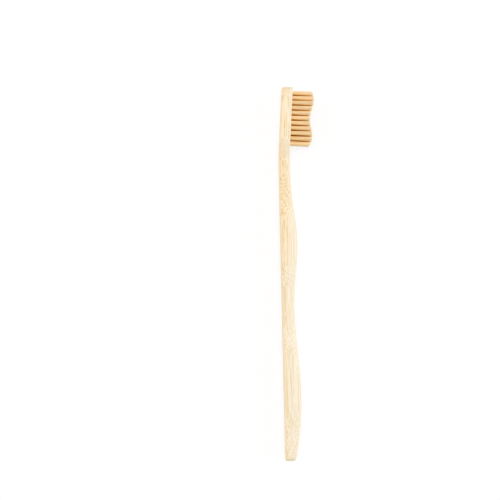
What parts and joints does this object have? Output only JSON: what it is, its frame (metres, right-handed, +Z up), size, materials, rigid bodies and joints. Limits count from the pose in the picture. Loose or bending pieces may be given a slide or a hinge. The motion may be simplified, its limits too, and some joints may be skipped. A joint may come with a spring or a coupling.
{
  "type": "manual toothbrush",
  "caption": "Manual toothbrush with a waisted bamboo handle, a slim neck and a forward-leaning head that carries rows of wave-trimmed nylon tufts held by metal anchors.",
  "frame": {"origin": "middle of the brush's box, on the surface that it lies on", "axes": "+Y along the handle from the tail to the head, +X the way the bristles point, +Z up: the brush lies on its side"},
  "size_m": [0.0186, 0.19, 0.0115],
  "materials": {
    "bamboo": "satin",
    "bristle": "satin",
    "anchor_metal": "satin"
  },
  "bodies": {
    "handle": {"handle": "bamboo", "anchors": "anchor_metal"},
    "bristle_row_01": {"tuft_01_a": "bristle", "tuft_01_b": "bristle"},
    "bristle_row_02": {"tuft_02_a": "bristle", "tuft_02_b": "bristle", "tuft_02_c": "bristle"},
    "bristle_row_03": {"tuft_03_a": "bristle", "tuft_03_b": "bristle", "tuft_03_c": "bristle", "tuft_03_d": "bristle"},
    "bristle_row_04": {"tuft_04_a": "bristle", "tuft_04_b": "bristle", "tuft_04_c": "bristle", "tuft_04_d": "bristle"},
    "bristle_row_05": {"tuft_05_a": "bristle", "tuft_05_b": "bristle", "tuft_05_c": "bristle", "tuft_05_d": "bristle"},
    "bristle_row_06": {"tuft_06_a": "bristle", "tuft_06_b": "bristle", "tuft_06_c": "bristle", "tuft_06_d": "bristle"},
    "bristle_row_07": {"tuft_07_a": "bristle", "tuft_07_b": "bristle", "tuft_07_c": "bristle", "tuft_07_d": "bristle"},
    "bristle_row_08": {"tuft_08_a": "bristle", "tuft_08_b": "bristle", "tuft_08_c": "bristle", "tuft_08_d": "bristle"},
    "bristle_row_09": {"tuft_09_a": "bristle", "tuft_09_b": "bristle", "tuft_09_c": "bristle", "tuft_09_d": "bristle"},
    "bristle_row_10": {"tuft_10_a": "bristle", "tuft_10_b": "bristle", "tuft_10_c": "bristle"},
    "bristle_row_11": {"tuft_11_a": "bristle", "tuft_11_b": "bristle"}
  },
  "joints": [
    {"name": "row_01_flex", "type": "hinge", "parent": "handle", "child": "bristle_row_01", "pos_m": [-0.00151, 0.09177, 0.00575], "axis": [0, 0, 1], "range_deg": [-20, 20], "stiffness_Nm_per_rad": 0.0036, "deforming": ["tuft_01_a", "tuft_01_b"]},
    {"name": "row_02_flex", "type": "hinge", "parent": "handle", "child": "bristle_row_02", "pos_m": [-0.00169, 0.08923, 0.00575], "axis": [0, 0, 1], "range_deg": [-20, 20], "stiffness_Nm_per_rad": 0.0054, "deforming": ["tuft_02_a", "tuft_02_b", "tuft_02_c"]},
    {"name": "row_03_flex", "type": "hinge", "parent": "handle", "child": "bristle_row_03", "pos_m": [-0.00186, 0.08668, 0.00575], "axis": [0, 0, 1], "range_deg": [-20, 20], "stiffness_Nm_per_rad": 0.0072, "deforming": ["tuft_03_a", "tuft_03_b", "tuft_03_c", "tuft_03_d"]},
    {"name": "row_04_flex", "type": "hinge", "parent": "handle", "child": "bristle_row_04", "pos_m": [-0.00203, 0.08414, 0.00575], "axis": [0, 0, 1], "range_deg": [-20, 20], "stiffness_Nm_per_rad": 0.0072, "deforming": ["tuft_04_a", "tuft_04_b", "tuft_04_c", "tuft_04_d"]},
    {"name": "row_05_flex", "type": "hinge", "parent": "handle", "child": "bristle_row_05", "pos_m": [-0.0022, 0.08159, 0.00575], "axis": [0, 0, 1], "range_deg": [-20, 20], "stiffness_Nm_per_rad": 0.0072, "deforming": ["tuft_05_a", "tuft_05_b", "tuft_05_c", "tuft_05_d"]},
    {"name": "row_06_flex", "type": "hinge", "parent": "handle", "child": "bristle_row_06", "pos_m": [-0.00238, 0.07905, 0.00575], "axis": [0, 0, 1], "range_deg": [-20, 20], "stiffness_Nm_per_rad": 0.0072, "deforming": ["tuft_06_a", "tuft_06_b", "tuft_06_c", "tuft_06_d"]},
    {"name": "row_07_flex", "type": "hinge", "parent": "handle", "child": "bristle_row_07", "pos_m": [-0.00255, 0.07651, 0.00575], "axis": [0, 0, 1], "range_deg": [-20, 20], "stiffness_Nm_per_rad": 0.0072, "deforming": ["tuft_07_a", "tuft_07_b", "tuft_07_c", "tuft_07_d"]},
    {"name": "row_08_flex", "type": "hinge", "parent": "handle", "child": "bristle_row_08", "pos_m": [-0.00273, 0.07396, 0.00575], "axis": [0, 0, 1], "range_deg": [-20, 20], "stiffness_Nm_per_rad": 0.0072, "deforming": ["tuft_08_a", "tuft_08_b", "tuft_08_c", "tuft_08_d"]},
    {"name": "row_09_flex", "type": "hinge", "parent": "handle", "child": "bristle_row_09", "pos_m": [-0.0029, 0.07142, 0.00575], "axis": [0, 0, 1], "range_deg": [-20, 20], "stiffness_Nm_per_rad": 0.0072, "deforming": ["tuft_09_a", "tuft_09_b", "tuft_09_c", "tuft_09_d"]},
    {"name": "row_10_flex", "type": "hinge", "parent": "handle", "child": "bristle_row_10", "pos_m": [-0.00307, 0.06887, 0.00575], "axis": [0, 0, 1], "range_deg": [-20, 20], "stiffness_Nm_per_rad": 0.0054, "deforming": ["tuft_10_a", "tuft_10_b", "tuft_10_c"]},
    {"name": "row_11_flex", "type": "hinge", "parent": "handle", "child": "bristle_row_11", "pos_m": [-0.00325, 0.06633, 0.00575], "axis": [0, 0, 1], "range_deg": [-20, 20], "stiffness_Nm_per_rad": 0.0036, "deforming": ["tuft_11_a", "tuft_11_b"]}
  ],
  "couplings": [
    {"joint": "row_01_flex", "follows": "row_06_flex", "ratio": 1},
    {"joint": "row_02_flex", "follows": "row_06_flex", "ratio": 1},
    {"joint": "row_03_flex", "follows": "row_06_flex", "ratio": 1},
    {"joint": "row_04_flex", "follows": "row_06_flex", "ratio": 1},
    {"joint": "row_05_flex", "follows": "row_06_flex", "ratio": 1},
    {"joint": "row_07_flex", "follows": "row_06_flex", "ratio": 1},
    {"joint": "row_08_flex", "follows": "row_06_flex", "ratio": 1},
    {"joint": "row_09_flex", "follows": "row_06_flex", "ratio": 1},
    {"joint": "row_10_flex", "follows": "row_06_flex", "ratio": 1},
    {"joint": "row_11_flex", "follows": "row_06_flex", "ratio": 1}
  ]
}
